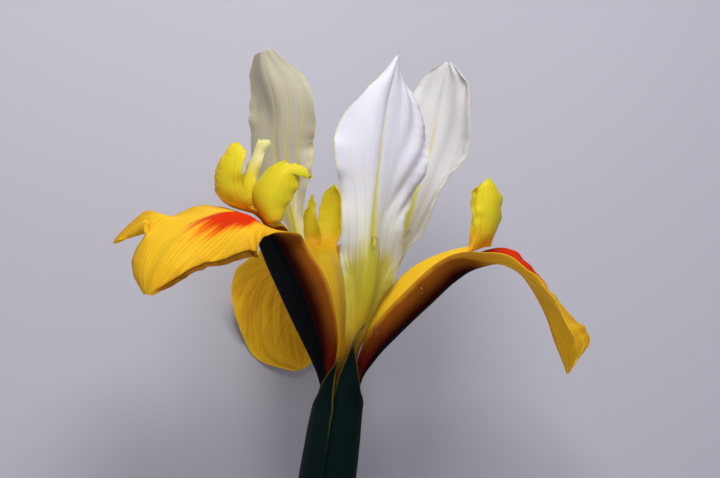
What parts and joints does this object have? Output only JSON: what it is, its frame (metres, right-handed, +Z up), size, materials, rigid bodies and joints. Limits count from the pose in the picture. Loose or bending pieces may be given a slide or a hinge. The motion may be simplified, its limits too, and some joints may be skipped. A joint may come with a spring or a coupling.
{
  "type": "iris flower",
  "caption": "Cut iris flower lying down, with drooping falls, upright standards, crested style arms, stamens, sheathing bracts and a slender stem.",
  "frame": {"origin": "middle of the footprint, on the surface that the flower lies on", "axes": "+Y along the flower from the cut end of the stem to the petals, +Z up, +X to the right with the petals pointing away"},
  "size_m": [0.1022, 0.2144, 0.0737],
  "materials": {
    "fall": "soft golden petal with fine veins and an orange-red signal",
    "standard": "soft white petal with yellow veins",
    "style": "soft lemon petal with fine veins",
    "stamen": "matt cream",
    "spathe": "satin dark green leaf with a thin olive edge and a papery tip",
    "stem": "satin dark green stem"
  },
  "bodies": {
    "root": {"fall_back": "fall", "fall_left": "fall", "fall_right": "fall", "standard_front": "standard", "standard_left": "standard", "standard_right": "standard", "style_back": "style", "style_left": "style", "style_right": "style", "stamen_back": "stamen", "stamen_left": "stamen", "stamen_right": "stamen", "spathe_inner": "spathe", "spathe_outer": "spathe", "stem": "stem"}
  },
  "joints": []
}
